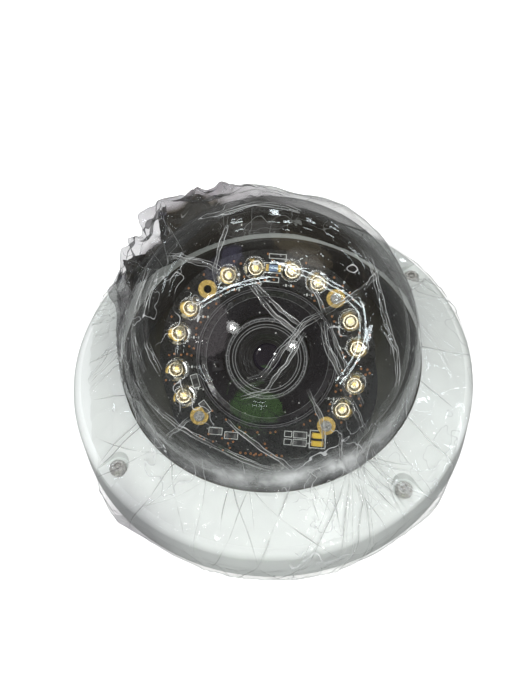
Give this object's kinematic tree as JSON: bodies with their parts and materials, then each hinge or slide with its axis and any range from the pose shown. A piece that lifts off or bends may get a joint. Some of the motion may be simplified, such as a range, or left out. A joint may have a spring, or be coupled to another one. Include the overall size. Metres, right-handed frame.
{
  "type": "dome cctv camera",
  "caption": "Mini dome security camera: white ring cover, clear bubble, pan, tilt and roll camera module with infrared LED board and focusing lens.",
  "frame": {"origin": "centre of the base's mounting face", "axes": "+Z out of the mounting face through the bubble, the lens looks towards -Y and up at rest"},
  "size_m": [0.111, 0.111, 0.0648],
  "materials": {
    "white_paint": "fine satin powder coat",
    "cast_base": "satin powder coat",
    "black_rubber": "matt",
    "black_plastic": "fine texture",
    "gloss_black": "satin to gloss",
    "anodised_black": "black anodised",
    "steel": "zinc or nickel plated",
    "spring_steel": "bright",
    "nylon": "natural",
    "board_green": "solder mask",
    "board_black": "solder mask with white legend",
    "sensor_glass": "cover glass over the die",
    "chip_black": "moulded epoxy",
    "connector_ivory": "moulded",
    "filter_glass": "tinted cut filter",
    "led_epoxy": "water-clear epoxy",
    "tinned_lead": "tinned",
    "smd_led_yellow": "phosphor gel",
    "resistor_black": "film resistor with tinned ends",
    "sensor_chip": "blue-grey",
    "coated_glass": "violet coating",
    "clear_dome": "clear moulded polycarbonate",
    "clear_film": "thin crinkled film"
  },
  "bodies": {
    "base": {"base_housing": "cast_base", "base_wall": "cast_base", "cover_posts": "cast_base", "pan_seat": "black_plastic", "base_oring": "black_rubber", "cable_grommet": "black_rubber", "pan_washer": "spring_steel", "pan_retainer": "black_plastic", "pan_screws": "steel"},
    "pan": {"pan_yoke": "black_plastic"},
    "tilt": {"tilt_cradle": "black_plastic", "tilt_screws": "steel", "tilt_washers": "nylon"},
    "module": {"module_housing": "black_plastic", "rear_cap": "black_plastic", "rear_screws": "steel", "camera_board": "board_green", "image_sensor": "sensor_glass", "board_chips": "chip_black", "board_connector": "connector_ivory", "lens_holder": "black_plastic", "ir_filter": "filter_glass", "led_board": "board_black", "ir_leds": "led_epoxy", "led_leads": "tinned_lead", "smd_leds": "smd_led_yellow", "smd_resistors": "resistor_black", "light_sensor": "sensor_chip", "led_connector": "connector_ivory", "board_screws": "steel", "lens_shroud": "gloss_black"},
    "focus": {"focus_ring": "anodised_black"},
    "lens": {"lens_barrel": "anodised_black", "lens_retainer": "anodised_black", "front_lens": "coated_glass", "rear_lens": "coated_glass"},
    "cover": {"cover_ring": "white_paint", "dome_bubble": "clear_dome", "bubble_gasket": "black_rubber", "bubble_retainer": "black_plastic", "retainer_screws": "steel", "cover_screws": "steel", "protective_film": "clear_film"}
  },
  "joints": [
    {"name": "pan_turn", "type": "hinge", "parent": "base", "child": "pan", "pos_m": [0, 0, 0.0045], "axis": [0, 0, 1], "range_deg": [-175, 175]},
    {"name": "tilt_turn", "type": "hinge", "parent": "pan", "child": "tilt", "pos_m": [0, 0, 0.0226], "axis": [0.9962, -0.0872, 0], "range_deg": [-38, 20]},
    {"name": "roll_turn", "type": "hinge", "parent": "tilt", "child": "module", "pos_m": [0, 0, 0.0226], "axis": [-0.0537, -0.6133, 0.788], "range_deg": [-175, 175]},
    {"name": "focus_turn", "type": "hinge", "parent": "module", "child": "focus", "pos_m": [0, 0, 0.0226], "axis": [-0.0537, -0.6133, 0.788], "range_deg": [-140, 200]},
    {"name": "focus_travel", "type": "slide", "parent": "module", "child": "lens", "axis": [-0.0537, -0.6133, 0.788], "range_m": [-0.00038, 0.00055]},
    {"name": "cover_lift", "type": "slide", "parent": "base", "child": "cover", "axis": [0, 0, 1], "range_m": [0, 0.12]}
  ],
  "couplings": [
    {"joint": "focus_turn", "follows": "focus_travel", "rad_per_m": 6283.2}
  ]
}
